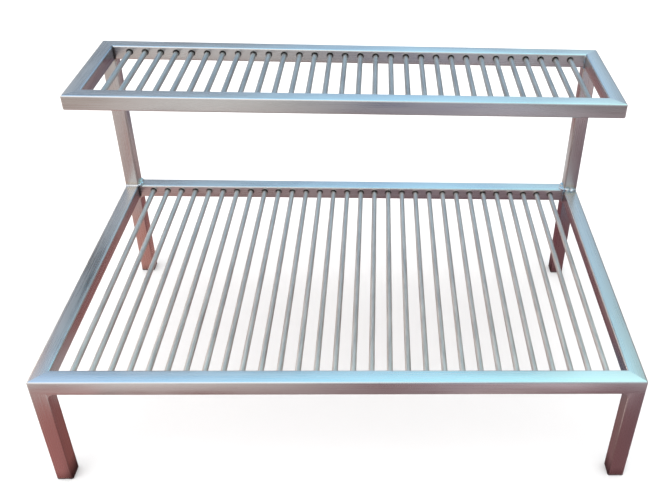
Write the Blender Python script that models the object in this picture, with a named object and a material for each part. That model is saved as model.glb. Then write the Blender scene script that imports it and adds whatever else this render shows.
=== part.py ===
"""Two-tier welded rack: square tube frames, round rods, four legs and two rear posts.

Metres, +Z up. The origin lies on the floor below the middle of the rack.
+X runs along the width, +Y points from the front to the back.
"""
import math

import bmesh
import bpy

# Driving dimensions
WIDTH = 0.700            # over the side rails, both tiers
LOWER_DEPTH = 0.425      # over the front and rear rails of the lower tier
UPPER_DEPTH = 0.176      # the same on the upper tier, flush with the lower one at the back
LOWER_TOP = 0.166        # floor to the top face of the lower frame
UPPER_TOP = 0.395        # floor to the top face of the upper frame
TUBE = 0.020             # side of the square tube
WALL = 0.0015            # wall thickness of the tube
CORNER_RADIUS = 0.0022   # outer corner radius of the tube
ROD_DIAMETER = 0.007
ROD_COUNT = 30           # rods in each tier
LOOSE_PER_SIDE = 6       # outer rods of the upper tier, at each end, that are objects of their own
ROD_DROP = 0.009         # top face of a frame to the centreline of its rods
ROD_SEAT = 0.012         # length of rod behind the inner face of a rail
HOLE_OVERSIZE = 0.0008   # radius of a rod hole over that of its rod
GAP = 0.0003             # kept between touching pieces
PLUG_FLANGE = 0.0015     # thickness of the foot plug's flange
PLUG_DEPTH = 0.012       # length of the foot plug's stem inside the leg

# Mesh resolution
ROD_SIDES = 12
CORNER_STEPS = 3

# Derived places
HALF_WIDTH = WIDTH / 2
FRONT = -LOWER_DEPTH / 2
BACK = LOWER_DEPTH / 2
BACK_FACE = BACK - TUBE  # inner face of both rear rails
UPPER_FRONT = BACK - UPPER_DEPTH
ROD_PITCH = (WIDTH - 2 * TUBE) / (ROD_COUNT + 1)
ALL_RODS = range(1, ROD_COUNT + 1)

STEEL_TUBE = {"name": "tube_steel", "color": (0.60, 0.57, 0.57), "roughness": 0.32, "metallic": 1.0}
STEEL_ROD = {"name": "rod_steel", "color": (0.56, 0.57, 0.59), "roughness": 0.28, "metallic": 1.0}
PLUG_PLASTIC = {"name": "plug_plastic", "color": (0.05, 0.05, 0.055), "roughness": 0.6, "metallic": 0.0}


def clear_scene():
    for obj in list(bpy.data.objects):
        bpy.data.objects.remove(obj, do_unlink=True)


def make_material(finish):
    """Each sub-part gets a material of its own from one of the three finishes."""
    material = bpy.data.materials.new(finish["name"])
    material.use_nodes = True
    shader = material.node_tree.nodes["Principled BSDF"]
    shader.inputs["Base Color"].default_value = (*finish["color"], 1.0)
    shader.inputs["Roughness"].default_value = finish["roughness"]
    shader.inputs["Metallic"].default_value = finish["metallic"]
    return material


def add_object(name, mesh_builder, finish):
    """Turn a bmesh into a named object with its material, shaded smooth."""
    bmesh.ops.recalc_face_normals(mesh_builder, faces=mesh_builder.faces)
    mesh = bpy.data.meshes.new(name)
    mesh_builder.to_mesh(mesh)
    mesh_builder.free()
    mesh.shade_smooth()
    mesh.set_sharp_from_angle(angle=math.radians(35))
    obj = bpy.data.objects.new(name, mesh)
    obj.data.materials.append(make_material(finish))
    bpy.context.scene.collection.objects.link(obj)
    return obj


def rounded_square(side, radius):
    """Outline of a square with round corners, centred, counter-clockwise."""
    points = []
    for corner in range(4):
        centre_angle = math.pi / 4 + corner * math.pi / 2
        cx = math.copysign(side / 2 - radius, math.cos(centre_angle))
        cy = math.copysign(side / 2 - radius, math.sin(centre_angle))
        for step in range(CORNER_STEPS + 1):
            angle = corner * math.pi / 2 + step / CORNER_STEPS * math.pi / 2
            points.append((cx + radius * math.cos(angle), cy + radius * math.sin(angle)))
    return points


def bridge(mesh_builder, loop_a, loop_b):
    """Join two rings of the same length with quads."""
    count = len(loop_a)
    for i in range(count):
        j = (i + 1) % count
        mesh_builder.faces.new((loop_a[i], loop_a[j], loop_b[j], loop_b[i]))


def hollow_tube(place, start, end):
    """Open-ended square tube.

    place(u, v, w) turns the outline's u and v and the length w into a point, and start(u) and end(u) give
    the length at which the tube is cut, so a cut that depends on u is a mitre.
    """
    outer = rounded_square(TUBE, CORNER_RADIUS)
    inner = rounded_square(TUBE - 2 * WALL, CORNER_RADIUS - WALL)
    mesh_builder = bmesh.new()
    rings = []
    for outline in (outer, inner):
        for cut in (start, end):
            rings.append([mesh_builder.verts.new(place(u, v, cut(u))) for u, v in outline])
    outer_start, outer_end, inner_start, inner_end = rings
    bridge(mesh_builder, outer_start, outer_end)
    bridge(mesh_builder, inner_end, inner_start)
    bridge(mesh_builder, inner_start, outer_start)
    bridge(mesh_builder, outer_end, inner_end)
    return mesh_builder


def mitred_rail(name, along_x, side, length, centre, top):
    """A frame rail whose ends are cut at 45 degrees.

    side is +1 or -1, the direction from the frame's middle to the rail. The outline's u points that way,
    so the rail is full length at its outer face and shorter by a tube's side at each end of its inner face.
    """
    centre_x, centre_y = centre
    middle_z = top - TUBE / 2

    def place(u, v, w):
        if along_x:
            return (w, centre_y + side * u, middle_z + v)
        return (centre_x + side * u, centre_y + w, middle_z + v)

    def end(u):
        return length / 2 - (TUBE / 2 - u) - GAP * math.sqrt(0.5)

    return add_object(name, hollow_tube(place, lambda u: -end(u), end), STEEL_TUBE)


def upright(name, x, y, bottom, top):
    """A leg or post: a square-cut vertical tube."""
    def place(u, v, w):
        return (x + u, y + v, w)

    return add_object(name, hollow_tube(place, lambda u: bottom, lambda u: top), STEEL_TUBE)


def frame(tier, depth, centre_y, top):
    """The four mitred rails of one tier."""
    offset_x = HALF_WIDTH - TUBE / 2
    offset_y = depth / 2 - TUBE / 2
    rails = {}
    for end_name, side in (("front", -1), ("rear", 1)):
        centre = (0, centre_y + side * offset_y)
        rails[end_name] = mitred_rail(f"{tier}_{end_name}_rail", True, side, WIDTH, centre, top)
    for end_name, side in (("left", -1), ("right", 1)):
        centre = (side * offset_x, centre_y)
        rails[end_name] = mitred_rail(f"{tier}_{end_name}_rail", False, side, depth, centre, top)
    return rails


def add_cylinder(mesh_builder, x, z, radius, y_from, y_to):
    """A closed cylinder along Y."""
    rings = []
    for y in (y_from, y_to):
        ring = []
        for step in range(ROD_SIDES):
            angle = (step + 0.5) * 2 * math.pi / ROD_SIDES
            point = (x + radius * math.cos(angle), y, z + radius * math.sin(angle))
            ring.append(mesh_builder.verts.new(point))
        rings.append(ring)
    bridge(mesh_builder, *rings)
    mesh_builder.faces.new(rings[0])
    mesh_builder.faces.new(rings[1])


def rod_x(number):
    """X of a rod, numbered from 1 at the left: the same gap between rods and beside the side rails."""
    return -HALF_WIDTH + TUBE + ROD_PITCH * number


def rod_group(name, numbers, z, radius, y_from, y_to):
    """Some of the rods, or the drills for their holes, as one object."""
    mesh_builder = bmesh.new()
    for number in numbers:
        add_cylinder(mesh_builder, rod_x(number), z, radius, y_from, y_to)
    return add_object(name, mesh_builder, STEEL_ROD)


def boolean(target, tool, operation):
    """Boolean with a hidden guide object."""
    tool.hide_render = True
    tool.display_type = "WIRE"
    modifier = target.modifiers.new(operation.lower(), "BOOLEAN")
    modifier.operation = operation
    modifier.solver = "EXACT"
    modifier.object = tool


def drill_rail(rail, name, numbers, inner_face, inward, rod_z):
    """Rod holes through the inner wall of a front or rear rail. The rods rest on the bottom of the holes."""
    radius = ROD_DIAMETER / 2 + HOLE_OVERSIZE
    hole_z = rod_z + HOLE_OVERSIZE - GAP
    reach = (inner_face + inward * WALL, inner_face - inward * 2 * WALL)
    drills = rod_group(name, numbers, hole_z, radius, min(reach), max(reach))
    boolean(rail, drills, "DIFFERENCE")


def loose_rods(tier, numbers, front_face, back_face, z):
    """Rods that are objects of their own. Their ends stand inside the front and rear rails."""
    for number in numbers:
        name = f"{tier}_rod_{number:02d}"
        rod_group(name, [number], z, ROD_DIAMETER / 2, front_face - ROD_SEAT, back_face + ROD_SEAT)


def foot_plug(name, x, y):
    """End plug of a leg: a flange as wide as the tube and a stem that stands inside it."""
    stem_side = TUBE - 2 * WALL - 2 * GAP
    levels = (
        (TUBE, CORNER_RADIUS, 0),
        (TUBE, CORNER_RADIUS, PLUG_FLANGE),
        (stem_side, CORNER_RADIUS - WALL, PLUG_FLANGE),
        (stem_side, CORNER_RADIUS - WALL, PLUG_FLANGE + PLUG_DEPTH),
    )
    mesh_builder = bmesh.new()
    rings = []
    for side, radius, z in levels:
        rings.append([mesh_builder.verts.new((x + u, y + v, z)) for u, v in rounded_square(side, radius)])
    for lower, upper in zip(rings, rings[1:]):
        bridge(mesh_builder, lower, upper)
    mesh_builder.faces.new(rings[0])
    mesh_builder.faces.new(rings[-1])
    add_object(name, mesh_builder, PLUG_PLASTIC)


def uprights():
    """Four legs with their plugs, and the two posts that carry the upper tier."""
    x = HALF_WIDTH - TUBE / 2
    leg_top = LOWER_TOP - TUBE - GAP
    post_y = BACK - TUBE / 2
    for side_name, side in (("left", -1), ("right", 1)):
        for end_name, y in (("front", FRONT + TUBE / 2), ("rear", post_y)):
            upright(f"{end_name}_{side_name}_leg", side * x, y, PLUG_FLANGE + GAP, leg_top)
            foot_plug(f"{end_name}_{side_name}_foot_plug", side * x, y)
        upright(f"rear_{side_name}_post", side * x, post_y, LOWER_TOP + GAP, UPPER_TOP - TUBE - GAP)


def lower_tier():
    """A frame with thirty loose rods."""
    rails = frame("lower", LOWER_DEPTH, 0, LOWER_TOP)
    front_face = FRONT + TUBE
    z = LOWER_TOP - ROD_DROP
    drill_rail(rails["front"], "lower_front_drills", ALL_RODS, front_face, 1, z)
    drill_rail(rails["rear"], "lower_rear_drills", ALL_RODS, BACK_FACE, -1, z)
    loose_rods("lower", ALL_RODS, front_face, BACK_FACE, z)


def upper_tier():
    """A frame whose middle rods are welded to the rear rail, as one comb, and whose outer rods are loose."""
    rails = frame("upper", UPPER_DEPTH, BACK - UPPER_DEPTH / 2, UPPER_TOP)
    front_face = UPPER_FRONT + TUBE
    z = UPPER_TOP - ROD_DROP
    welded = [n for n in ALL_RODS if LOOSE_PER_SIDE < n <= ROD_COUNT - LOOSE_PER_SIDE]
    loose = [n for n in ALL_RODS if n not in welded]
    drill_rail(rails["front"], "upper_front_drills", ALL_RODS, front_face, 1, z)
    drill_rail(rails["rear"], "upper_rear_drills", loose, BACK_FACE, -1, z)
    teeth = rod_group("comb_rods", welded, z, ROD_DIAMETER / 2, front_face - ROD_SEAT, BACK_FACE + ROD_SEAT)
    boolean(rails["rear"], teeth, "UNION")
    rails["rear"].name = "upper_rear_rail_and_rods"
    loose_rods("upper", loose, front_face, BACK_FACE, z)


def main():
    clear_scene()
    lower_tier()
    upper_tier()
    uprights()


main()
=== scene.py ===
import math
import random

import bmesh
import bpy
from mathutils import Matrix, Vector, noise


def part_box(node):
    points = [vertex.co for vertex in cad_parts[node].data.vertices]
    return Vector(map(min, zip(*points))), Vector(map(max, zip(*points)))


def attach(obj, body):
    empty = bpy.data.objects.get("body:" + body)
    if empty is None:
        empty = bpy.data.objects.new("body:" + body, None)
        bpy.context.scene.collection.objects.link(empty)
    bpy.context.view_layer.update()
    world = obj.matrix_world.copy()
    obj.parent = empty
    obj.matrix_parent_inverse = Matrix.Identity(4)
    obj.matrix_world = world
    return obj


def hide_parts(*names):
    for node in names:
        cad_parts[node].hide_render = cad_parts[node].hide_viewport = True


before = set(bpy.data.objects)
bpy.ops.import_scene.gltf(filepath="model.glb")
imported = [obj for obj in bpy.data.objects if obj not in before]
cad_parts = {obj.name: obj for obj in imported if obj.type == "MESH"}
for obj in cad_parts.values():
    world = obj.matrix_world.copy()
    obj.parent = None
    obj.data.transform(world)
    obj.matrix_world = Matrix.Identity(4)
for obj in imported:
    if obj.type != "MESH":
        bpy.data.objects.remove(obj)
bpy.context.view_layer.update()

# Looks of the two-tier welded rack: brushed square tube, drawn rods, weld beads and foot plugs.
#
# Every piece is built around the frame's own boxes, in metres, with +X to the right, +Y to the back and
# +Z up. Each tube, foot plug and loose rod takes the place of its own CAD node. The CAD node of the upper
# rear rail also holds the middle rods of its tier, which are pieces of their own here. The welds, which the
# CAD leaves out, are added.

# Sections of the stock
CORNER_RADIUS = 0.0022       # outer corner of the square tube
WALL = 0.0015
ROD_RADIUS = 0.0035
ROD_CHAMFER = 0.0005
ROD_COUNT = 30               # in each tier
ROD_SHADES = 5               # different steels among the rods of a tier

# Rod holes
HOLE_RADIUS = 0.0043
HOLE_LIFT = 0.0005           # centre of a hole over that of its rod, which sits low in it
HOLE_BREAK = 0.0003          # chamfer round a hole
RING_WIDTH = 0.0010          # burnt ring round a hole

# Foot plugs
PLUG_EDGE = 0.0004           # chamfer round the cap
STEM_PLAY = 0.0006           # how much narrower the stem is than the inside of the leg

# Welds, as how far each climbs on the two faces that it joins
LEG_FILLET = 0.0044
POST_FRONT_FILLET = 0.0022   # at the left post, ground smooth
POST_FRONT_BEAD = 0.0044     # at the right post, left rough
POST_SIDE_BEAD = 0.0040
POST_HEAD_BEAD = 0.0028
CORNER_BEAD = 0.0021
RIPPLE_PITCH = 0.0016        # from scale to scale of a rough bead
BEAD_SINK = 0.0003           # how deep a bead's back sits in the faces
FILLET_LAP = 0.0002          # how far a fillet's back reaches past the tubes' rounded edges
END_MARGIN = 0.0003          # from the end of an upright's weld to the upright's side
TACK_SIZE = (0.0016, 0.0015, 0.0011)   # half sizes
TACK_DROP = 0.0002           # centre of a tack below the rod
TACK_STRAY = 0.0003          # how far a tack may be off to one side

# Lumps on the right post's front bead: x, y and z from the bead's middle, and half sizes
FRONT_LUMPS = (
    ((-0.0052, -0.0018, 0.0014), (0.0046, 0.0040, 0.0040)),
    ((0.0024, -0.0016, 0.0012), (0.0044, 0.0038, 0.0038)),
)

# Lumps at the front end of a post's side bead: inwards, back and up from the post's corner, and half sizes
SIDE_LUMPS = (
    ((0.0016, 0.0014, 0.0008), (0.0040, 0.0034, 0.0030)),
    ((0.0034, 0.0060, 0.0006), (0.0032, 0.0034, 0.0022)),
)

# Mesh resolution
MERGE_DISTANCE = 1e-6
NEGLIGIBLE = 1e-7
CORNER_STEPS = 6
ROUND_SIDES = 32
MITRE_STEPS = 5
WELD_STEPS = 8               # across a bead or fillet
BEAD_STEP = 0.0005           # along a bead

X, Y, Z = Vector((1, 0, 0)), Vector((0, 1, 0)), Vector((0, 0, 1))

# Patterns of the brushing, as repeats per metre along and across it
BRUSH_FINE = (14, 5200)
BRUSH_STREAKS = (6, 1900)
BRUSH_CLOUDS = (9, 45)
ANISOTROPY = 0.75

# Painted shade on the inner faces of the side rails, from their rear ends: how far it comes forward, and how
# strong it is
SHADE_REACH = {"lower": 0.11, "upper": 0.20}
SHADE_AMOUNT = {"left": 1.0, "right": 0.5}

# Colours, linear
STEEL = (0.66, 0.645, 0.635, 1)
STEEL_DARK = (0.58, 0.565, 0.555, 1)
GROUND_STEEL = (0.60, 0.585, 0.575, 1)
STRAW = (0.60, 0.47, 0.30, 1)
BLUED = (0.45, 0.56, 0.66, 1)
# Near black: the burnt rings round the holes, and painted shade
SOOT_AND_SHADE = (0.05, 0.045, 0.045, 1)
# Blue-grey painted shade, on the side rails' inner faces and towards the rods' rear ends
PAINTED_SHADE = (0.16, 0.20, 0.26, 1)
# Darker, browner tone towards a leg's foot
FOOT_BROWN = (0.24, 0.19, 0.185, 1)
WELD_GREY = (0.62, 0.66, 0.70, 1)
WELD_STRAW = (0.58, 0.53, 0.46, 1)
WELD_BLUE = (0.46, 0.60, 0.70, 1)
# Painted shade of the left inner-corner welds, near black
CORNER_SHADE_DARK = (0.06, 0.055, 0.06, 1)
CORNER_SHADE_LIGHT = (0.20, 0.18, 0.18, 1)
PLASTIC = (0.070, 0.060, 0.060, 1)
PLASTIC_SCUFFED = (0.15, 0.125, 0.12, 1)
FLOOR = (0.93, 0.93, 0.93, 1)
PALE_PAVING = (1.25, 0.98, 0.94, 1)
ROOF = (0.01, 0.012, 0.015, 1)
LOW_YARD = (0.30, 0.30, 0.31, 1)
WHITE = (1, 1, 1, 1)

# Strengths of the world: the white that lights the floor, and what the steel mirrors
WHITE_STRENGTH = 1.36
MIRROR_STRENGTH = 2.0

# Tones of each tier's rods: first seed, dark tone, light tone, and the painted shade towards the rear end.
# The upper tier's tones are set darker than the lower's as painted shade.
ROD_TONES_AND_SHADE = {
    "lower": (0, (0.59, 0.525, 0.485, 1), (0.87, 0.775, 0.71, 1), 0.16),
    "upper": (7, (0.42, 0.40, 0.39, 1), (0.66, 0.64, 0.62, 1), 0.0),
}


# ---------------------------------------------------------------------------------------------------------
# Places, all read from the frame
# ---------------------------------------------------------------------------------------------------------

def rail_node(tier, side_name):
    """CAD node of a rail. The upper rear rail shares its node with the middle rods of its tier."""
    if (tier, side_name) == ("upper", "rear"):
        return "upper_rear_rail_and_rods"
    return f"{tier}_{side_name}_rail"


def outline_of(tier):
    """Outer box of a tier's frame: x and y to the outer faces of its rails, z from underside to top."""
    left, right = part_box(rail_node(tier, "left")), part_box(rail_node(tier, "right"))
    front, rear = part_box(rail_node(tier, "front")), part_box(rail_node(tier, "rear"))
    return Vector((left[0].x, front[0].y, front[0].z)), Vector((right[1].x, rear[1].y, front[1].z))


TIERS = {tier: outline_of(tier) for tier in ("lower", "upper")}
TUBE = TIERS["lower"][1].z - TIERS["lower"][0].z


def rod_centres(tier):
    """Centre of every rod's section in a tier, from left to right, as x and z."""
    low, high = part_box(f"{tier}_rod_01")
    first = (low + high) / 2
    low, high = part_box(f"{tier}_rod_{ROD_COUNT:02d}")
    last = (low + high) / 2
    pitch = (last.x - first.x) / (ROD_COUNT - 1)
    return [(first.x + pitch * i, first.z) for i in range(ROD_COUNT)]


# ---------------------------------------------------------------------------------------------------------
# Mesh helpers
# ---------------------------------------------------------------------------------------------------------

def rounded_square(side, radius):
    """Outline of a square with round corners, centred, counter-clockwise."""
    points = []
    for corner in range(4):
        centre_angle = math.pi / 4 + corner * math.pi / 2
        cu = math.copysign(side / 2 - radius, math.cos(centre_angle))
        cv = math.copysign(side / 2 - radius, math.sin(centre_angle))
        for step in range(CORNER_STEPS + 1):
            angle = corner * math.pi / 2 + step / CORNER_STEPS * math.pi / 2
            points.append((cu + radius * math.cos(angle), cv + radius * math.sin(angle)))
    return points


def round_ring(mesh_builder, x, y, z, radius, turn=0.0):
    """Round ring of vertices across Y. turn shifts them by a share of the step between them."""
    ring = []
    for side in range(ROUND_SIDES):
        angle = 2 * math.pi * (side + turn) / ROUND_SIDES
        ring.append(mesh_builder.verts.new((x + radius * math.cos(angle), y, z + radius * math.sin(angle))))
    return ring


def loft(mesh_builder, rings, capped=True):
    """Join rings of the same length with quads, in order, and close the first and last if capped."""
    for ring_a, ring_b in zip(rings, rings[1:]):
        for i in range(len(ring_a)):
            j = (i + 1) % len(ring_a)
            mesh_builder.faces.new((ring_a[i], ring_a[j], ring_b[j], ring_b[i]))
    if capped:
        mesh_builder.faces.new(rings[0])
        mesh_builder.faces.new(rings[-1])


def new_object(name, mesh_builder):
    """Turn a bmesh into an object of the scene."""
    mesh = bpy.data.meshes.new(name)
    mesh_builder.to_mesh(mesh)
    mesh_builder.free()
    obj = bpy.data.objects.new(name, mesh)
    bpy.context.scene.collection.objects.link(obj)
    return obj


def add_grain_map(mesh, along):
    """UV map whose u runs along the piece, to give the brushing a direction. End faces get any direction."""
    layer = mesh.uv_layers.get("grain") or mesh.uv_layers.new(name="grain")
    for polygon in mesh.polygons:
        across = polygon.normal.cross(along)
        if across.length < 1e-4:
            across = polygon.normal.orthogonal()
        across.normalize()
        for loop in polygon.loop_indices:
            point = mesh.vertices[mesh.loops[loop].vertex_index].co
            layer.data[loop].uv = (point.dot(along), point.dot(across))


def smooth_and_map(mesh, along, sharp_angle):
    """Smooth shading that stops at sharp edges, and the grain map. The angle is in degrees."""
    mesh.shade_smooth()
    mesh.set_sharp_from_angle(angle=math.radians(sharp_angle))
    add_grain_map(mesh, along)


def finish_mesh(name, mesh_builder, material, along, sharp_angle=40):
    """Clean the bmesh and turn it into a smooth-shaded object with its grain map and material."""
    bmesh.ops.remove_doubles(mesh_builder, verts=mesh_builder.verts, dist=MERGE_DISTANCE)
    bmesh.ops.dissolve_degenerate(mesh_builder, edges=mesh_builder.edges, dist=NEGLIGIBLE)
    bmesh.ops.recalc_face_normals(mesh_builder, faces=mesh_builder.faces)
    obj = new_object(name, mesh_builder)
    smooth_and_map(obj.data, along, sharp_angle)
    obj.data.materials.append(material)
    return obj


def settle(piece, slot, *nodes):
    """Every piece rides on the one rigid body and stands for its CAD nodes, if any. slot is not used."""
    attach(piece, "root")
    if nodes:
        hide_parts(*nodes)


# ---------------------------------------------------------------------------------------------------------
# Shader helpers
# ---------------------------------------------------------------------------------------------------------

class Nodes:
    """Shorthand for building a node tree."""

    def __init__(self, tree):
        self.tree = tree

    def node(self, kind, **inputs):
        """A new node. Inputs are values or other nodes' outputs, by socket name with _ for a space."""
        node = self.tree.nodes.new(kind)
        for key, value in inputs.items():
            self.feed(node.inputs[key.replace("_", " ")], value)
        return node

    def feed(self, socket, value):
        """Link another node's output to a socket, or set the socket's own value."""
        if isinstance(value, bpy.types.NodeSocket):
            self.tree.links.new(value, socket)
        else:
            socket.default_value = value

    def math(self, operation, a, b=0.0):
        node = self.tree.nodes.new("ShaderNodeMath")
        node.operation = operation
        self.feed(node.inputs[0], a)
        self.feed(node.inputs[1], b)
        return node.outputs[0]

    def plus(self, a, b):
        return self.math("ADD", a, b)

    def minus(self, a, b):
        return self.math("SUBTRACT", a, b)

    def times(self, a, b):
        return self.math("MULTIPLY", a, b)

    def away(self, value, place):
        """How far a value is from a place, to either side."""
        return self.math("ABSOLUTE", self.minus(value, place))

    def ragged(self, value, pattern, amount):
        """A value made uneven by a pattern that varies about one half."""
        return self.plus(value, self.times(self.minus(pattern, 0.5), amount))

    def axes(self, space="Object"):
        """x, y and z of the shaded point in the row frame, or of the direction in a world."""
        point = self.node("ShaderNodeTexCoord").outputs[space]
        return self.node("ShaderNodeSeparateXYZ", Vector=point).outputs

    def noise(self, scale, detail, rough, offset=(0, 0, 0)):
        """Noise in the row frame. scale is per axis: a low value draws the pattern out along that axis."""
        point = self.node("ShaderNodeTexCoord").outputs["Object"]
        mapping = self.node("ShaderNodeMapping", Vector=point, Scale=scale, Location=offset)
        pattern = self.node("ShaderNodeTexNoise", Vector=mapping.outputs[0], Scale=1.0, Detail=detail,
                            Roughness=rough)
        return pattern.outputs["Fac"]

    def spread(self, value, low, high, from_low, from_high):
        """Map from_low to low and from_high to high, evenly between them and clamped beyond them."""
        node = self.node("ShaderNodeMapRange", Value=value, From_Min=from_low, From_Max=from_high,
                         To_Min=low, To_Max=high)
        return node.outputs["Result"]

    def mix(self, factor, a, b):
        """Colour a where the factor is 0, and b where it is 1."""
        node = self.tree.nodes.new("ShaderNodeMix")
        node.data_type = "RGBA"
        self.feed(node.inputs[0], factor)
        self.feed(node.inputs[6], a)
        self.feed(node.inputs[7], b)
        return node.outputs[2]

    def ramp(self, value, *stops):
        """Colours along a value, as (value, colour) in rising order."""
        first, last = stops[0][0], stops[-1][0]
        node = self.node("ShaderNodeValToRGB", Fac=self.spread(value, 0.0, 1.0, first, last))
        elements = node.color_ramp.elements
        elements[0].color = (*stops[0][1], 1)
        elements[1].color = (*stops[-1][1], 1)
        for place, colour in stops[1:-1]:
            elements.new((place - first) / (last - first)).color = (*colour, 1)
        return node.outputs["Color"]

    def bump(self, height, distance, strength, normal=None):
        """Bumps of a height pattern, laid over the bumps of normal if there are any."""
        node = self.node("ShaderNodeBump", Height=height, Distance=distance, Strength=strength)
        if normal is not None:
            self.feed(node.inputs["Normal"], normal)
        return node.outputs["Normal"]


class Shader(Nodes):
    """The node tree of one material around its Principled shader."""

    def __init__(self, name):
        self.material = bpy.data.materials.new(name)
        self.material.use_nodes = True
        super().__init__(self.material.node_tree)
        self.principled = self.tree.nodes["Principled BSDF"]

    def brush_along_grain(self):
        """Highlights spread across the brushing, a quarter turn from u of the grain map."""
        tangent = self.tree.nodes.new("ShaderNodeTangent")
        tangent.direction_type = "UV_MAP"
        tangent.uv_map = "grain"
        self.feed(self.principled.inputs["Tangent"], tangent.outputs[0])
        self.principled.inputs["Anisotropic"].default_value = ANISOTROPY
        self.principled.inputs["Anisotropic Rotation"].default_value = 0.25

    def finished(self, colour, roughness, normal, metallic=1.0):
        """The material, with its Principled shader fed."""
        inputs = self.principled.inputs
        self.feed(inputs["Base Color"], colour)
        self.feed(inputs["Roughness"], roughness)
        self.feed(inputs["Normal"], normal)
        inputs["Metallic"].default_value = metallic
        return self.material


def stretched(along, scales):
    """Per-axis texture scale of a grain that runs along one axis, from its scales along and across."""
    return tuple(scales[0] if abs(component) > 0.5 else scales[1] for component in along)


# ---------------------------------------------------------------------------------------------------------
# Materials
# ---------------------------------------------------------------------------------------------------------

def heat_tint(shader, colour, clouds, weld):
    """Straw, then blue, towards the heat of a weld: (axis index, place, reach)."""
    axis, place, reach = weld
    distance = shader.ragged(shader.away(shader.axes()[axis], place), clouds, reach)
    straw = shader.spread(distance, 0.55, 0.0, reach * 0.35, reach)
    blue = shader.spread(distance, 0.6, 0.0, reach * 0.1, reach * 0.55)
    return shader.mix(blue, shader.mix(straw, colour, STRAW), BLUED)


def burnt_rings(shader, colour, clouds, hole_row):
    """A dark ring round each hole of a row: (first x, pitch, y of the drilled wall, z)."""
    first_x, pitch, wall_y, hole_z = hole_row
    x, y, z = shader.axes()
    place = shader.math("DIVIDE", shader.minus(x, first_x), pitch)
    on_row = shader.math("MAXIMUM", shader.math("ROUND", place), 0.0)
    nearest = shader.math("MINIMUM", on_row, ROD_COUNT - 1.0)
    across = shader.times(shader.minus(place, nearest), pitch)
    up = shader.minus(z, hole_z)
    squares = shader.plus(shader.times(across, across), shader.times(up, up))
    distance = shader.ragged(shader.math("SQRT", squares), clouds, 0.0012)
    ring = shader.spread(distance, 0.55, 0.0, HOLE_RADIUS, HOLE_RADIUS + RING_WIDTH)
    near_wall = shader.spread(shader.away(y, wall_y), 1.0, 0.0, 2 * WALL, 3 * WALL)
    return shader.mix(shader.times(ring, near_wall), colour, SOOT_AND_SHADE)


def shaded_inner_face(shader, colour, clouds, smoked_wall):
    """Painted shade on a side rail's inner face, towards its rear end and near black in its rear corner: (x,
    rear end, reach, amount).
    """
    wall_x, rear_end, reach, amount = smoked_wall
    x, y, _ = shader.axes()
    on_wall = shader.spread(shader.away(x, wall_x), amount, 0.0, 0.0008, 0.0030)
    from_rear = shader.ragged(shader.minus(rear_end, y), clouds, 0.006)
    # Painted shade: darker towards the rear end, and near black in the rear corner
    smoke = shader.times(shader.spread(from_rear, 0.65, 0.0, TUBE, TUBE + reach), on_wall)
    rear_corner_shade = shader.times(shader.spread(from_rear, 0.95, 0.0, TUBE + 0.002, TUBE + 0.009), on_wall)
    return shader.mix(rear_corner_shade, shader.mix(smoke, colour, PAINTED_SHADE), SOOT_AND_SHADE)


def darkened_foot(shader, colour, clouds, foot_wall):
    """Darker and browner towards a leg's foot, and painted shade low on its inner face, which is at x
    foot_wall.
    """
    x, _, z = shader.axes()
    height = shader.ragged(z, clouds, 0.012)
    colour = shader.mix(shader.spread(height, 0.5, 0.0, 0.003, 0.014), colour, FOOT_BROWN)
    on_wall = shader.spread(shader.away(x, foot_wall), 1.0, 0.0, 0.0004, 0.0018)
    # Painted shade low on the leg's inner face
    inner_shade = shader.times(shader.spread(height, 0.85, 0.0, 0.006, 0.030), on_wall)
    return shader.mix(inner_shade, colour, SOOT_AND_SHADE)


def brushed_steel(name, along, seed, welds=(), hole_row=None, smoked_wall=None, foot_wall=None):
    """Stainless tube brushed along its length, with the marks that welding has left on it, dark rings round
    its holes, painted shade on the side rails' inner faces, and a leg's darker foot with painted shade on
    its inner face.
    """
    shader = Shader(name)
    shift = (seed * 1.7, seed * 0.9, seed * 2.3)
    fine = shader.noise(stretched(along, BRUSH_FINE), 2.0, 0.6, shift)
    streaks = shader.noise(stretched(along, BRUSH_STREAKS), 3.0, 0.6, shift)
    clouds = shader.noise(stretched(along, BRUSH_CLOUDS), 2.0, 0.5, shift)
    tone = shader.plus(shader.times(streaks, 0.5), shader.times(clouds, 0.5))
    colour = shader.mix(shader.spread(tone, 0, 1, 0.36, 0.62), STEEL_DARK, STEEL)
    for weld in welds:
        colour = heat_tint(shader, colour, clouds, weld)
    if hole_row:
        colour = burnt_rings(shader, colour, clouds, hole_row)
    if smoked_wall:
        colour = shaded_inner_face(shader, colour, clouds, smoked_wall)
    if foot_wall is not None:
        colour = darkened_foot(shader, colour, clouds, foot_wall)
    roughness = shader.plus(shader.spread(streaks, 0.22, 0.34, 0.3, 0.7),
                            shader.spread(clouds, -0.03, 0.05, 0.35, 0.65))
    waves = shader.bump(shader.noise((14, 14, 14), 1.0, 0.4, shift), 0.0006, 0.35)
    brushing = shader.plus(fine, shader.times(streaks, 0.7))
    shader.brush_along_grain()
    return shader.finished(colour, roughness, shader.bump(brushing, 0.000006, 0.5, waves))


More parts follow.
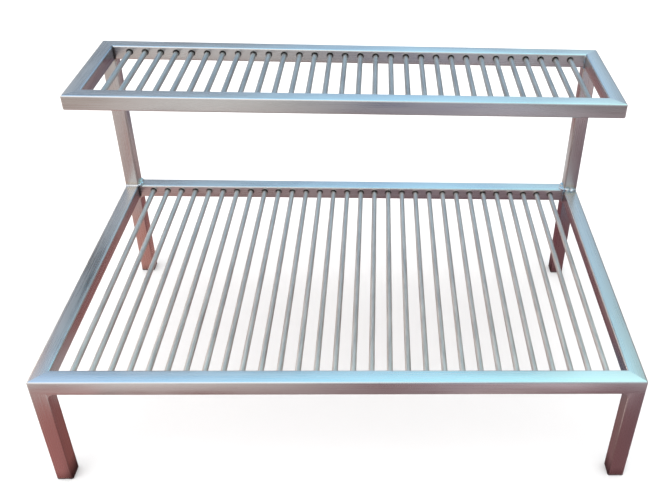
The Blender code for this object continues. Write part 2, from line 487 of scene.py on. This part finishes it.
def drawn_steel(name, seed, dark, light, smoke):
    """Round rod, drawn along its length: duller than the tube, between a dark and a light tone.

    smoke is how much painted shade darkens a rod towards its rear end.
    """
    shader = Shader(name)
    shift = (seed * 0.37, seed * 1.31, seed * 0.71)
    lines = shader.noise((1500, 7, 1500), 2.0, 0.6, shift)
    clouds = shader.noise((300, 22, 300), 3.0, 0.6, shift)
    tone = shader.plus(shader.times(lines, 0.4), shader.times(clouds, 0.6))
    colour = shader.mix(shader.spread(tone, 0, 1, 0.38, 0.60), dark, light)
    # Painted shade: darker towards the rod's rear end
    colour = shader.mix(shader.spread(shader.axes()[1], 0.0, smoke, -0.10, 0.20), colour, PAINTED_SHADE)
    shader.brush_along_grain()
    roughness = shader.spread(tone, 0.46, 0.60, 0.35, 0.65)
    return shader.finished(colour, roughness, shader.bump(lines, 0.00001, 0.5))


def weld_metal(name):
    """Cast-looking weld metal with a bluish and straw tint."""
    shader = Shader(name)
    patches = shader.noise((260, 260, 260), 3.0, 0.6)
    grain = shader.noise((1800, 1800, 1800), 2.0, 0.5)
    warm = shader.mix(shader.spread(patches, 1, 0, 0.34, 0.46), WELD_GREY, WELD_STRAW)
    colour = shader.mix(shader.spread(patches, 0, 0.9, 0.44, 0.56), warm, WELD_BLUE)
    roughness = shader.spread(grain, 0.22, 0.42, 0.3, 0.7)
    return shader.finished(colour, roughness, shader.bump(grain, 0.00004, 0.5))


def ground_weld(name):
    """Weld ground smooth in several passes, with no single direction."""
    shader = Shader(name)
    passes = shader.noise((900, 900, 900), 3.0, 0.6)
    clouds = shader.noise((70, 70, 70), 2.0, 0.5)
    colour = shader.mix(shader.spread(clouds, 0, 1, 0.4, 0.6), GROUND_STEEL, STEEL)
    roughness = shader.spread(passes, 0.24, 0.36, 0.3, 0.7)
    return shader.finished(colour, roughness, shader.bump(passes, 0.00002, 0.4))


def shaded_corner_weld(name):
    """Unground weld in an inner corner, near black as painted shade of the corner."""
    shader = Shader(name)
    patches = shader.noise((400, 400, 400), 3.0, 0.6)
    colour = shader.mix(shader.spread(patches, 0, 1, 0.35, 0.65), CORNER_SHADE_DARK, CORNER_SHADE_LIGHT)
    roughness = shader.spread(patches, 0.4, 0.65, 0.3, 0.7)
    return shader.finished(colour, roughness, shader.bump(patches, 0.0001, 0.6), 0.9)


def moulded_plastic(name):
    """Dark foot plug with a fine spark-eroded texture and scuffs."""
    shader = Shader(name)
    pores = shader.noise((2200, 2200, 2200), 2.0, 0.5)
    scuffs = shader.noise((160, 160, 400), 3.0, 0.6)
    colour = shader.mix(shader.spread(scuffs, 0, 1, 0.5, 0.72), PLASTIC, PLASTIC_SCUFFED)
    roughness = shader.spread(pores, 0.5, 0.7, 0.3, 0.7)
    return shader.finished(colour, roughness, shader.bump(pores, 0.00003, 0.5), 0.0)


# ---------------------------------------------------------------------------------------------------------
# Rails
# ---------------------------------------------------------------------------------------------------------

def mitre_ring(outline, half_length, turn=0.0, rounded=False):
    """One ring near a mitred end, as (u, v, w).

    On a rounded ring, turn goes from 0 to 45 degrees and rounds the frame's upright outer edge, so that the
    two rails meet in a ball corner. Points away from that edge stand on the mitre plane for every turn.
    """
    edge = TUBE / 2 - CORNER_RADIUS
    ring = []
    for u, v in outline:
        if rounded and u > edge:
            reach = u - edge
            along = half_length - CORNER_RADIUS + reach * math.sin(turn)
            ring.append((edge + reach * math.cos(turn), v, along))
        else:
            ring.append((u, v, half_length - (TUBE / 2 - u)))
    return ring


def rail_builder(place, half_length):
    """Hollow tube with two mitred ends. place(u, v, w) puts outward, up and along into the row frame."""
    outer = rounded_square(TUBE, CORNER_RADIUS)
    inner = rounded_square(TUBE - 2 * WALL, CORNER_RADIUS - WALL)
    mesh_builder = bmesh.new()

    def new_ring(points, sign):
        return [mesh_builder.verts.new(place(u, v, sign * w)) for u, v, w in points]

    turns = [math.pi / 4 * step / MITRE_STEPS for step in range(MITRE_STEPS + 1)]
    rings = [new_ring(mitre_ring(outer, half_length, turn, True), -1) for turn in reversed(turns)]
    rings += [new_ring(mitre_ring(outer, half_length, turn, True), 1) for turn in turns]
    rings += [new_ring(mitre_ring(inner, half_length), sign) for sign in (1, -1)]
    loft(mesh_builder, rings + rings[:1], capped=False)
    return mesh_builder


def drill_cutter(tier, face_y, outward):
    """Thirty drills through a rail's inner wall, each with a flare that breaks the hole's edge."""
    mesh_builder = bmesh.new()
    profile = (
        (-2 * WALL, HOLE_RADIUS + 2 * HOLE_BREAK),
        (-HOLE_BREAK, HOLE_RADIUS + 2 * HOLE_BREAK),
        (HOLE_BREAK, HOLE_RADIUS),
        (2 * WALL, HOLE_RADIUS),
    )
    for x, z in rod_centres(tier):
        hole_z = z + HOLE_LIFT
        loft(mesh_builder, [round_ring(mesh_builder, x, face_y + outward * depth, hole_z, radius, 0.5)
                            for depth, radius in profile])
    bmesh.ops.recalc_face_normals(mesh_builder, faces=mesh_builder.faces)
    return new_object(f"{tier}_drills", mesh_builder)


def drill(rail, tier, face_y, outward):
    """Cut the rod holes into a rail's mesh and drop the cutter."""
    cutter = drill_cutter(tier, face_y, outward)
    modifier = rail.modifiers.new("holes", "BOOLEAN")
    modifier.operation = "DIFFERENCE"
    modifier.solver = "EXACT"
    modifier.object = cutter
    bpy.context.view_layer.update()
    evaluated = rail.evaluated_get(bpy.context.evaluated_depsgraph_get())
    cut = bpy.data.meshes.new_from_object(evaluated)
    rail.modifiers.clear()
    rail.data = cut
    bpy.data.objects.remove(cutter)
    smooth_and_map(cut, X, sharp_angle=28)


def make_rail(tier, side_name, seed):
    """One mitred rail of a tier's frame."""
    low, high = TIERS[tier]
    middle_z = (low.z + high.z) / 2
    along_x = side_name in ("front", "rear")
    outward = -1 if side_name in ("front", "left") else 1
    axis = 0 if along_x else 1
    half_length = (high[axis] - low[axis]) / 2
    centre_along = (high[axis] + low[axis]) / 2
    outer_face = (low if outward < 0 else high)[1 - axis]
    inner_face = outer_face - outward * TUBE
    centre_across = (outer_face + inner_face) / 2

    def place(u, v, w):
        if along_x:
            return (centre_along + w, centre_across + outward * u, middle_z + v)
        return (centre_across + outward * u, centre_along + w, middle_z + v)

    name = f"{tier}_{side_name}_rail"
    along = X if along_x else Y
    marks = {}
    if along_x:
        centres = rod_centres(tier)
        pitch = centres[1][0] - centres[0][0]
        marks["hole_row"] = (centres[0][0], pitch, inner_face, centres[0][1] + HOLE_LIFT)
    else:
        # Painted shade on the inner face, towards the rear end
        marks["smoked_wall"] = (inner_face, high.y, SHADE_REACH[tier], SHADE_AMOUNT[side_name])
    if name == "lower_right_rail":
        marks["welds"] = [(1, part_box("rear_right_post")[0].y, 0.013)]
    material = brushed_steel(f"{name}_steel", along, seed, **marks)
    rail = finish_mesh(f"{name}_brushed", rail_builder(place, half_length), material, along)
    if along_x:
        drill(rail, tier, inner_face, outward)
    settle(rail, "tube_steel", rail_node(tier, side_name))


# ---------------------------------------------------------------------------------------------------------
# Legs, posts and foot plugs
# ---------------------------------------------------------------------------------------------------------

def coped_height(x, y, low, high):
    """How far an upright's wall has to reach past a frame's flat face to meet the frame's rounded edge.

    The distance inwards from the frame's outer outline decides it: the whole radius at the outline, and
    nothing beyond the rounding.
    """
    inset = min(x - low.x, high.x - x, y - low.y, high.y - y)
    corner_x = min(max(x, low.x + CORNER_RADIUS), high.x - CORNER_RADIUS)
    corner_y = min(max(y, low.y + CORNER_RADIUS), high.y - CORNER_RADIUS)
    if abs(x - corner_x) > NEGLIGIBLE and abs(y - corner_y) > NEGLIGIBLE:
        inset = CORNER_RADIUS - math.hypot(x - corner_x, y - corner_y)
    inset = min(max(inset, 0.0), CORNER_RADIUS)
    return CORNER_RADIUS - math.sqrt(max(CORNER_RADIUS ** 2 - (CORNER_RADIUS - inset) ** 2, 0.0))


def make_upright(node, seed, frame_below, frame_above, welds):
    """A leg or post whose ends are coped to the rounded edges of the frames that it meets."""
    low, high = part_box(node)
    centre = (low + high) / 2
    bottom = TIERS[frame_below][1].z if frame_below else low.z
    top = TIERS[frame_above][0].z
    outer = rounded_square(TUBE, CORNER_RADIUS)
    inner = rounded_square(TUBE - 2 * WALL, CORNER_RADIUS - WALL)
    mesh_builder = bmesh.new()

    def end_ring(outline, z, tier=None, direction=0):
        ring = []
        for u, v in outline:
            x, y = centre.x + u, centre.y + v
            reach = coped_height(x, y, *TIERS[tier]) if tier else 0.0
            ring.append(mesh_builder.verts.new((x, y, z + direction * reach)))
        return ring

    outer_low = end_ring(outer, bottom, frame_below, -1)
    outer_high = end_ring(outer, top, frame_above, 1)
    inner_low = end_ring(inner, bottom)
    inner_high = end_ring(inner, top)
    loft(mesh_builder, [outer_low, outer_high, inner_high, inner_low, outer_low], capped=False)
    foot_wall = None if frame_below else centre.x - math.copysign(TUBE / 2, centre.x)
    material = brushed_steel(f"{node}_steel", Z, seed, welds, foot_wall=foot_wall)
    piece = finish_mesh(f"{node}_brushed", mesh_builder, material, Z)
    settle(piece, "tube_steel", node)


def make_foot_plug(node, material):
    """Thin square cap with broken edges and a stem inside the leg."""
    low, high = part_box(node)
    centre = (low + high) / 2
    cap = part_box(node.replace("_foot_plug", "_leg"))[0].z - low.z
    length = high.z - low.z
    stem = TUBE - 2 * WALL - STEM_PLAY
    stem_radius = CORNER_RADIUS - WALL
    levels = (
        (TUBE - 2 * PLUG_EDGE, CORNER_RADIUS - PLUG_EDGE, 0.0),
        (TUBE, CORNER_RADIUS, PLUG_EDGE),
        (TUBE, CORNER_RADIUS, cap - PLUG_EDGE / 2),
        (TUBE - PLUG_EDGE, CORNER_RADIUS - PLUG_EDGE / 2, cap),
        (stem, stem_radius, cap),
        (stem, stem_radius, length - 2 * PLUG_EDGE),
        (stem - 2 * PLUG_EDGE, stem_radius, length),
    )
    mesh_builder = bmesh.new()
    loft(mesh_builder, [[mesh_builder.verts.new((centre.x + u, centre.y + v, low.z + z))
                         for u, v in rounded_square(side, radius)] for side, radius, z in levels])
    piece = finish_mesh(f"{node}_moulded", mesh_builder, material, Z, sharp_angle=30)
    settle(piece, "plug_plastic", node)


# ---------------------------------------------------------------------------------------------------------
# Rods
# ---------------------------------------------------------------------------------------------------------

def make_rod(tier, number, x, z, y_from, y_to, material):
    """One rod with chamfered ends, turned about its axis."""
    node = f"{tier}_rod_{number:02d}"
    levels = ((y_from, ROD_RADIUS - ROD_CHAMFER), (y_from + ROD_CHAMFER, ROD_RADIUS),
              (y_to - ROD_CHAMFER, ROD_RADIUS), (y_to, ROD_RADIUS - ROD_CHAMFER))
    mesh_builder = bmesh.new()
    loft(mesh_builder, [round_ring(mesh_builder, x, y, z, radius) for y, radius in levels])
    piece = finish_mesh(f"{node}_drawn", mesh_builder, material, Y)
    settle(piece, "rod_steel", *([node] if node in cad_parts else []))


def make_rods(tier):
    """All rods of a tier, in a few shades of steel that come round again."""
    low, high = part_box(f"{tier}_rod_01")
    seed, *tones_and_shade = ROD_TONES_AND_SHADE[tier]
    materials = [drawn_steel(f"{tier}_rod_steel_{i}", seed + i, *tones_and_shade) for i in range(ROD_SHADES)]
    for number, (x, z) in enumerate(rod_centres(tier), start=1):
        make_rod(tier, number, x, z, low.y, high.y, materials[number % ROD_SHADES])


# ---------------------------------------------------------------------------------------------------------
# Welds
# ---------------------------------------------------------------------------------------------------------

def add_bead(mesh_builder, start, end, side_a, side_b, leg, ripple, draw):
    """A fillet bead along the inner edge from start to end.

    side_a and side_b point away from the edge along the two faces that the bead joins, and leg is how far
    it climbs on each. ripple is the depth of its scales as a share of leg. Its legs vary by 3% at random,
    and it is a quarter as thick at its ends as in its middle.
    """
    run = end - start
    count = max(6, int(run.length / BEAD_STEP))
    rings = []
    phase = draw.uniform(0, 2 * math.pi)
    for i in range(count + 1):
        share = i / count
        taper = math.sqrt(max(1 - abs(2 * share - 1) ** 6, 0.0))
        scale = 1 + ripple * math.cos(2 * math.pi * share * run.length / RIPPLE_PITCH + phase)
        size = leg * (0.25 + 0.75 * taper) * scale
        size_a = size * draw.uniform(0.97, 1.03)
        size_b = size * draw.uniform(0.97, 1.03)
        base = start + run * share
        ring = [base - side_a * BEAD_SINK - side_b * BEAD_SINK, base + side_a * size_a - side_b * BEAD_SINK]
        for k in range(WELD_STEPS + 1):
            angle = math.pi / 2 * k / WELD_STEPS
            bulge = 0.80 + 0.10 * math.cos(4 * (angle - math.pi / 4))
            ring.append(base + side_a * size_a * math.cos(angle) * bulge
                        + side_b * size_b * math.sin(angle) * bulge)
        ring.append(base - side_a * BEAD_SINK + side_b * size_b)
        rings.append([mesh_builder.verts.new(point) for point in ring])
    loft(mesh_builder, rings)


def add_ground_fillet(mesh_builder, start, end, side_a, side_b, leg):
    """A weld ground to a smooth hollow fillet, flush with the faces at both its ends.

    Its back reaches past the rounded edges of the tubes that it joins, so no notch stays open there.
    """
    back = CORNER_RADIUS + FILLET_LAP
    rings = []
    for base in (start, end):
        ring = [base - side_a * back - side_b * back, base + side_a * leg - side_b * back]
        for k in range(WELD_STEPS + 1):
            angle = math.pi / 2 * k / WELD_STEPS
            ring.append(base + side_a * leg * (1 - math.sin(angle))
                        + side_b * leg * (1 - math.cos(angle)))
        ring.append(base - side_a * back + side_b * leg)
        rings.append([mesh_builder.verts.new(point) for point in ring])
    loft(mesh_builder, rings)


def add_blob(mesh_builder, centre, sizes, draw):
    """A lump of weld metal where a bead was started or stopped."""
    shift = Vector((draw.uniform(0, 9), draw.uniform(0, 9), draw.uniform(0, 9)))
    geometry = bmesh.ops.create_icosphere(mesh_builder, subdivisions=3, radius=1)
    for vert in geometry["verts"]:
        swell = 1 + 0.22 * noise.noise(vert.co * 1.4 + shift)
        vert.co = centre + Vector([c * size * swell for c, size in zip(vert.co, sizes)])


def inner_edges(node, tier, above):
    """The two inner edges along which an upright meets a frame: (start, end, away from the upright, up).

    above is 1 for an upright that stands on the frame, and -1 for one that is under it, whose up is down.
    """
    low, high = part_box(node)
    z = TIERS[tier][1].z if above > 0 else TIERS[tier][0].z
    inward_x = -1 if low.x + high.x > 0 else 1
    inward_y = -1 if low.y + high.y > 0 else 1
    x_face = high.x if inward_x > 0 else low.x
    y_face = high.y if inward_y > 0 else low.y
    up = Z * above
    low_x, high_x = low.x + END_MARGIN, high.x - END_MARGIN
    low_y, high_y = low.y + END_MARGIN, high.y - END_MARGIN
    side = (Vector((x_face, low_y, z)), Vector((x_face, high_y, z)), X * inward_x, up)
    face = (Vector((low_x, y_face, z)), Vector((high_x, y_face, z)), Y * inward_y, up)
    return side, face


def leg_head_welds(node, material):
    """Both welds of a leg under the lower frame, ground smooth."""
    mesh_builder = bmesh.new()
    for edge in inner_edges(node, "lower", -1):
        add_ground_fillet(mesh_builder, *edge, LEG_FILLET)
    settle(finish_mesh(f"{node}_welds", mesh_builder, material, Z, sharp_angle=50), "tube_steel")


def post_welds(node, front_is_ground, smooth, rough, draw):
    """A post's foot: a front weld, and a side bead with lumps at its end. Its head: two plain beads."""
    side, face = inner_edges(node, "lower", 1)
    mesh_builder = bmesh.new()
    if front_is_ground:
        add_ground_fillet(mesh_builder, *face, POST_FRONT_FILLET)
    else:
        add_bead(mesh_builder, *face, POST_FRONT_BEAD, ripple=0.06, draw=draw)
        middle = (face[0] + face[1]) / 2
        for offset, sizes in FRONT_LUMPS:
            add_blob(mesh_builder, middle + Vector(offset), sizes, draw)
    material = smooth if front_is_ground else rough
    settle(finish_mesh(f"{node}_foot_front_weld", mesh_builder, material, X, sharp_angle=50), "tube_steel")

    mesh_builder = bmesh.new()
    add_bead(mesh_builder, *side, POST_SIDE_BEAD, ripple=0.10, draw=draw)
    corner = Vector((side[0].x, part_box(node)[0].y, side[0].z))
    for (inwards, back, up), sizes in SIDE_LUMPS:
        add_blob(mesh_builder, corner + side[2] * inwards + Y * back + Z * up, sizes, draw)
    settle(finish_mesh(f"{node}_foot_side_weld", mesh_builder, rough, Y, sharp_angle=60), "tube_steel")

    mesh_builder = bmesh.new()
    for edge in inner_edges(node, "upper", -1):
        add_bead(mesh_builder, *edge, POST_HEAD_BEAD, ripple=0.08, draw=draw)
    settle(finish_mesh(f"{node}_head_welds", mesh_builder, rough, Z, sharp_angle=60), "tube_steel")


def corner_welds(tier, left_material, right_material, draw):
    """Short upright beads in the four inner corners of a frame, within its rounded edges."""
    low, high = TIERS[tier]
    inset = CORNER_RADIUS * 0.6
    for x_name, x, inward_x, material in (("left", low.x + TUBE, 1, left_material),
                                          ("right", high.x - TUBE, -1, right_material)):
        for y_name, y, inward_y in (("front", low.y + TUBE, 1), ("rear", high.y - TUBE, -1)):
            mesh_builder = bmesh.new()
            ends = (Vector((x, y, low.z + inset)), Vector((x, y, high.z - inset)))
            sides = (X * inward_x, Y * inward_y)
            add_bead(mesh_builder, *ends, *sides, CORNER_BEAD, ripple=0.10, draw=draw)
            name = f"{tier}_{y_name}_{x_name}_corner_weld"
            settle(finish_mesh(name, mesh_builder, material, Z, sharp_angle=60), "tube_steel")


def rod_tacks(tier, end_name, material, draw):
    """Tack welds under the rods, which sit low in their holes."""
    low, high = TIERS[tier]
    y = low.y + TUBE if end_name == "front" else high.y - TUBE
    mesh_builder = bmesh.new()
    for x, z in rod_centres(tier):
        centre = Vector((x + draw.uniform(-TACK_STRAY, TACK_STRAY), y, z - ROD_RADIUS - TACK_DROP))
        geometry = bmesh.ops.create_icosphere(mesh_builder, subdivisions=2, radius=1)
        swell = draw.uniform(0.9, 1.1)
        sizes = Vector((TACK_SIZE[0] * swell, TACK_SIZE[1], TACK_SIZE[2] * swell))
        for vert in geometry["verts"]:
            vert.co = centre + vert.co * sizes
    tacks = finish_mesh(f"{tier}_{end_name}_rod_tacks", mesh_builder, material, Y, sharp_angle=60)
    settle(tacks, "rod_steel")


# ---------------------------------------------------------------------------------------------------------
# Stage
# ---------------------------------------------------------------------------------------------------------

def level_square(name, half_side, z):
    """A level square of the stage, round the middle of the scene."""
    mesh_builder = bmesh.new()
    bmesh.ops.create_grid(mesh_builder, x_segments=1, y_segments=1, size=half_side)
    square = new_object(name, mesh_builder)
    square.location.z = z
    return square


def make_floor():
    """Pale floor. Reflections see the ground card below it instead."""
    floor = level_square("floor", 12, -0.0005)
    shader = Shader("pale_floor")
    shader.principled.inputs["Base Color"].default_value = FLOOR
    shader.principled.inputs["Roughness"].default_value = 0.9
    shader.principled.inputs["Specular IOR Level"].default_value = 0.0
    floor.data.materials.append(shader.material)
    floor.visible_glossy = False


def make_ground_card():
    """A glowing card just under the floor, seen only in reflections."""
    card = level_square("ground_card", 7, -0.002)
    shader = Shader("ground_card_light")
    shader.tree.nodes.remove(shader.principled)
    emission = shader.node("ShaderNodeEmission", Color=ground_colour(shader), Strength=1.0)
    output = next(node for node in shader.tree.nodes if node.type == "OUTPUT_MATERIAL")
    shader.feed(output.inputs["Surface"], emission.outputs[0])
    card.data.materials.append(shader.material)
    card.visible_camera = False
    card.visible_diffuse = False
    card.visible_shadow = False
    card.visible_transmission = False


def ground_colour(shader):
    """What the steel mirrors of the yard's paving, in bands along y, each with its colours along x.

    far, middle and near are in front of the rack, and near goes on under its front rail.
    """
    x, y, _ = shader.axes()
    far = shader.ramp(
        x,
        (-0.65, (0.60, 0.51, 0.46)), (-0.56, (1.26, 1.31, 1.31)), (-0.46, (0.92, 0.95, 0.94)),
        (-0.25, (0.58, 0.60, 0.59)), (-0.05, (0.25, 0.29, 0.37)), (0.20, (0.17, 0.21, 0.35)),
        (0.42, (0.56, 0.60, 0.72)), (0.48, (0.90, 0.92, 1.00)), (0.53, (0.58, 0.62, 0.70)),
        (0.60, (0.15, 0.13, 0.14)),
    )
    middle = shader.ramp(
        x,
        (-0.62, (0.55, 0.41, 0.38)), (-0.50, (0.74, 0.65, 0.62)), (-0.43, (0.50, 0.38, 0.38)),
        (-0.35, (1.30, 1.23, 1.20)), (-0.10, (0.84, 0.72, 0.69)), (0.05, (0.45, 0.28, 0.28)),
        (0.34, (1.0, 0.84, 0.90)), (0.44, (0.20, 0.08, 0.10)), (0.50, (1.0, 0.80, 0.84)),
        (0.56, (0.70, 0.56, 0.60)), (0.60, (0.24, 0.17, 0.18)), (0.68, (1.4, 1.10, 1.08)),
    )
    near = shader.ramp(
        x,
        (-0.60, (0.84, 0.76, 0.73)), (-0.48, (0.66, 0.55, 0.52)), (-0.42, (0.55, 0.24, 0.22)),
        (-0.345, (0.52, 0.21, 0.20)), (-0.332, (0.12, 0.06, 0.06)), (-0.316, (0.31, 0.11, 0.10)),
        (0.10, (0.30, 0.20, 0.21)), (0.25, (0.28, 0.17, 0.165)), (0.34, (0.26, 0.12, 0.13)),
        (0.60, (0.25, 0.20, 0.24)),
    )
    under_front = shader.ramp(
        x,
        (-0.60, (0.78, 0.72, 0.70)), (-0.30, (0.50, 0.40, 0.40)), (-0.18, (0.46, 0.42, 0.43)),
        (0.15, (0.10, 0.11, 0.16)), (0.60, (0.30, 0.28, 0.33)),
    )
    under_rear = shader.ramp(
        x,
        (-0.60, (0.80, 0.60, 0.55)), (-0.38, (0.72, 0.36, 0.31)), (-0.24, (0.30, 0.13, 0.13)),
        (0.24, (0.22, 0.085, 0.10)), (0.38, (0.21, 0.10, 0.11)), (0.60, (0.32, 0.24, 0.26)),
    )
    behind = shader.ramp(
        x,
        (-0.60, (0.80, 0.74, 0.72)), (-0.20, (0.44, 0.33, 0.33)), (0.22, (0.85, 0.84, 0.84)),
        (0.60, (0.50, 0.48, 0.49)),
    )
    far_behind = shader.ramp(
        x,
        (-0.70, (0.90, 0.90, 0.90)), (-0.25, (0.30, 0.28, 0.34)), (-0.04, (0.15, 0.13, 0.17)),
        (0.03, (0.34, 0.08, 0.07)), (0.13, (0.34, 0.11, 0.10)), (0.24, (0.74, 0.68, 0.68)),
        (0.70, (0.45, 0.45, 0.47)),
    )
    patch = shader.times(shader.spread(shader.away(x, 0.195), 1.0, 0.0, 0.02, 0.085),
                         shader.spread(shader.away(y, -0.255), 1.0, 0.0, 0.012, 0.03))
    colour = shader.mix(patch, near, PALE_PAVING)
    # Each band takes over from the ones before it between two places along y
    bands = (
        (under_front, -0.09, -0.055),
        (under_rear, -0.02, 0.06),
        (behind, 0.42, 0.50),
        (far_behind, 0.60, 0.72),
        (middle, -0.335, -0.395),
        (far, -0.38, -0.75),
    )
    for band, from_y, to_y in bands:
        colour = shader.mix(shader.spread(y, 0.0, 1.0, from_y, to_y), colour, band)
    return colour


def mirrored_sky(nodes):
    """What the steel mirrors above the ground, by direction: sky behind the rack, yard in front of it."""
    x, y, z = nodes.axes("Generated")
    horizon = nodes.ramp(
        x,
        (-0.64, (1.0, 0.96, 0.92)), (-0.52, (0.70, 0.69, 0.68)), (-0.42, (0.20, 0.20, 0.20)),
        (0.40, (0.17, 0.18, 0.19)), (0.64, (0.10, 0.10, 0.10)),
    )
    haze = nodes.ramp(
        x,
        (-0.64, (1.0, 0.95, 0.9)), (-0.48, (0.10, 0.12, 0.15)), (-0.42, (0.10, 0.13, 0.16)),
        (-0.37, (0.17, 0.27, 0.38)), (-0.335, (0.11, 0.14, 0.185)), (-0.28, (0.115, 0.15, 0.20)),
        (-0.18, (0.20, 0.27, 0.36)), (-0.09, (0.27, 0.41, 0.58)), (0.08, (0.30, 0.51, 0.75)),
        (0.19, (0.30, 0.45, 0.60)), (0.29, (0.47, 0.68, 0.84)), (0.34, (0.23, 0.29, 0.34)),
        (0.45, (0.16, 0.17, 0.18)), (0.6, (0.22, 0.21, 0.20)),
    )
    high = nodes.ramp(
        x,
        (-0.64, (1.1, 1.0, 1.0)), (-0.45, (0.31, 0.58, 0.96)), (0.22, (0.44, 0.92, 1.03)),
        (0.32, (0.68, 1.18, 1.10)), (0.45, (0.62, 1.02, 1.08)),
    )
    warmth = nodes.ramp(x, (-0.46, (0.44, 0.30, 0.23)), (-0.37, (0.48, 0.51, 0.57)))
    front = nodes.ramp(x, (-0.15, (0.80, 0.80, 0.80)), (0.20, (0.36, 0.45, 0.50)))
    sky = nodes.mix(nodes.spread(z, 0.0, 1.0, 0.12, 0.44), horizon, haze)
    glow = nodes.times(nodes.spread(z, 0.0, 1.0, 0.43, 0.53), nodes.spread(x, 1.0, 0.0, -0.30, -0.12))
    sky = nodes.mix(glow, sky, warmth)
    sky = nodes.mix(nodes.spread(z, 0.0, 1.0, 0.58, 0.85), sky, high)
    roof_span = nodes.times(nodes.spread(x, 1.0, 0.0, -0.20, -0.04), nodes.spread(z, 0.0, 1.0, 0.25, 0.35))
    roof = nodes.times(nodes.spread(nodes.away(y, 0.712), 1.0, 0.0, 0.036, 0.068), roof_span)
    sky = nodes.mix(roof, sky, ROOF)
    yard = nodes.mix(nodes.spread(z, 0.0, 1.0, 0.15, 0.50), LOW_YARD, front)
    return nodes.mix(nodes.spread(y, 1.0, 0.0, -0.30, 0.10), sky, yard)


def make_world():
    """Reflections see the sky and the yard. The camera and the floor see plain white."""
    world = bpy.data.worlds.new("studio")
    bpy.context.scene.world = world
    world.use_nodes = True
    world.node_tree.nodes.clear()
    nodes = Nodes(world.node_tree)
    plain = nodes.node("ShaderNodeBackground", Color=WHITE, Strength=WHITE_STRENGTH)
    mirrored = nodes.node("ShaderNodeBackground", Color=mirrored_sky(nodes), Strength=MIRROR_STRENGTH)
    glossy_ray = nodes.node("ShaderNodeLightPath").outputs["Is Glossy Ray"]
    chooser = nodes.node("ShaderNodeMixShader", Fac=glossy_ray)
    nodes.feed(chooser.inputs[1], plain.outputs[0])
    nodes.feed(chooser.inputs[2], mirrored.outputs[0])
    nodes.node("ShaderNodeOutputWorld", Surface=chooser.outputs[0])


def make_softbox():
    """Softbox over the left front corner. It lights the floor and isn't mirrored in the steel."""
    light = bpy.data.lights.new("key", "AREA")
    light.shape = "DISK"
    light.size = 1.8
    light.energy = 14
    lamp = bpy.data.objects.new("key", light)
    lamp.location = (-0.9, -0.6, 2.4)
    aim = Vector((0, 0, 0.1))
    lamp.rotation_euler = (aim - lamp.location).to_track_quat("-Z", "Y").to_euler()
    lamp.visible_glossy = False
    bpy.context.scene.collection.objects.link(lamp)


def make_camera():
    """View from the front and well above, held with a slight roll."""
    data = bpy.data.cameras.new("camera")
    data.sensor_width = 36
    data.lens = 43.0
    data.shift_x = -0.1307
    data.shift_y = -0.0775
    camera = bpy.data.objects.new("camera", data)
    camera.location = (0.0368, -0.8389, 0.8316)
    camera.rotation_euler = [math.radians(angle) for angle in (57.077, -1.980, -1.960)]
    bpy.context.scene.collection.objects.link(camera)
    bpy.context.scene.camera = camera


def make_stage():
    make_floor()
    make_ground_card()
    make_world()
    make_softbox()
    bpy.context.scene.view_settings.view_transform = "Standard"


# ---------------------------------------------------------------------------------------------------------
# The rack
# ---------------------------------------------------------------------------------------------------------

def make_frames():
    """The rails of both tiers, each from its own stretch of tube."""
    seed = 1
    for tier in ("lower", "upper"):
        for side_name in ("front", "rear", "left", "right"):
            make_rail(tier, side_name, seed)
            seed += 1


def make_uprights():
    """On each side two legs with their foot plugs, and the post over the rear leg, tinted by its welds."""
    plastic = moulded_plastic("plug_plastic")
    seed = 20
    for side_name, foot_heat in (("left", 0.007), ("right", 0.012)):
        for end_name in ("front", "rear"):
            make_upright(f"{end_name}_{side_name}_leg", seed, None, "lower", ())
            make_foot_plug(f"{end_name}_{side_name}_foot_plug", plastic)
            seed += 1
        welds = [(2, TIERS["lower"][1].z, foot_heat), (2, TIERS["upper"][0].z, 0.006)]
        make_upright(f"rear_{side_name}_post", seed, "lower", "upper", welds)
        seed += 1


def make_welds():
    """All welds of the rack, from one stream of random draws."""
    draw = random.Random(7)
    rough = weld_metal("weld_metal")
    smooth = ground_weld("ground_weld")
    shaded_corner_metal = shaded_corner_weld("shaded_corner_weld")
    for side_name in ("left", "right"):
        post_welds(f"rear_{side_name}_post", side_name == "left", smooth, rough, draw)
        for end_name in ("front", "rear"):
            leg_head_welds(f"{end_name}_{side_name}_leg", smooth)
    for tier in ("lower", "upper"):
        # The left corner beads are near black, painted shade of the corners
        corner_welds(tier, shaded_corner_metal, rough, draw)
        for end_name in ("front", "rear"):
            rod_tacks(tier, end_name, rough, draw)


make_camera()
make_frames()
make_uprights()
make_rods("lower")
make_rods("upper")
make_welds()
make_stage()
